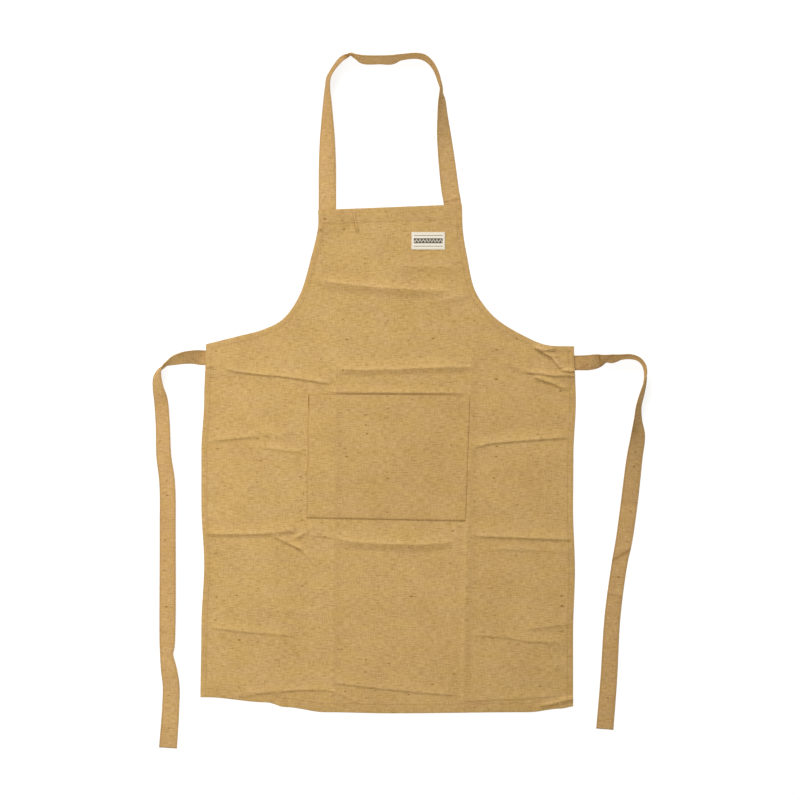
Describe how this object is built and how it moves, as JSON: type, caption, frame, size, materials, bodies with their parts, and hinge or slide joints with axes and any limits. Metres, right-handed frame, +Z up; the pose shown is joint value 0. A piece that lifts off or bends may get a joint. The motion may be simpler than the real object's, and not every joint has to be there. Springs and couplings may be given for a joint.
{
  "type": "kitchen apron",
  "caption": "Bib apron of heathered mustard cloth laid flat: bib and skirt, patch pocket, small label, looped neck strap and long waist ties.",
  "frame": {"origin": "on the underside of the front panel, at the middle of the waist line", "axes": "+Z up from the surface that the apron lies on, +Y from the hem towards the neck strap, +X to the right as seen from above"},
  "size_m": [0.8722, 1.2276, 0.031],
  "materials": {
    "apron_cloth": "heathered plain-weave cotton, mustard yellow, matt",
    "strap_cloth": "the same mustard cotton folded into flat straps, matt",
    "label_cloth": "cream woven tape, matt"
  },
  "bodies": {
    "root": {"front_panel": "apron_cloth", "pocket": "apron_cloth", "label": "label_cloth", "neck_strap": "strap_cloth", "waist_tie_left": "strap_cloth", "waist_tie_right": "strap_cloth"}
  },
  "joints": []
}
